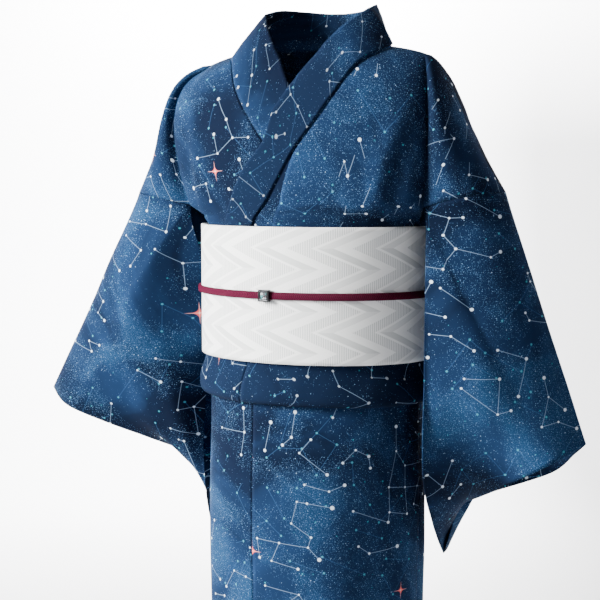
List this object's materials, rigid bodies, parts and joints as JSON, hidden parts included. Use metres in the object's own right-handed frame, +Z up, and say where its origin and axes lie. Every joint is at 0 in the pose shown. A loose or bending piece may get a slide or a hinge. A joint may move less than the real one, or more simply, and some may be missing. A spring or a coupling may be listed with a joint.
{
  "type": "worn cotton yukata robe with obi",
  "caption": "Worn summer kimono robe closed left over right, with wide sleeves, waist tuck, obi, braided cord with clip, and a bow at the back. Hollow, held up by its wearer.",
  "frame": {"origin": "centre plane of the garment, between the shoulders, at the height where the cloth rests on them beside the neck", "axes": "+Z up, -Y the front, +X the wearer's left"},
  "size_m": [0.7899, 0.3097, 1.3052],
  "materials": {
    "cotton_navy": "matt plain-weave cotton, navy with a printed star pattern",
    "cotton_collar": "matt plain-weave cotton, navy with a sparse star print",
    "obi_white": "white woven band with tonal grey chevrons",
    "cord_burgundy": "flat braided burgundy cord",
    "clip_black": "glossy black metal",
    "clip_mosaic": "small silver-white mosaic under gloss"
  },
  "bodies": {
    "root": {"body_panel_left": "cotton_navy", "body_panel_right": "cotton_navy", "overlap_panel_left": "cotton_navy", "overlap_panel_right": "cotton_navy", "collar_band": "cotton_collar", "collar_cover": "cotton_collar", "sleeve_left": "cotton_navy", "sleeve_right": "cotton_navy", "obi_band": "obi_white", "obi_knot": "obi_white", "bow_loop_left": "obi_white", "bow_loop_right": "obi_white", "obijime_cord": "cord_burgundy", "obidome_frame": "clip_black", "obidome_face": "clip_mosaic"}
  },
  "joints": []
}
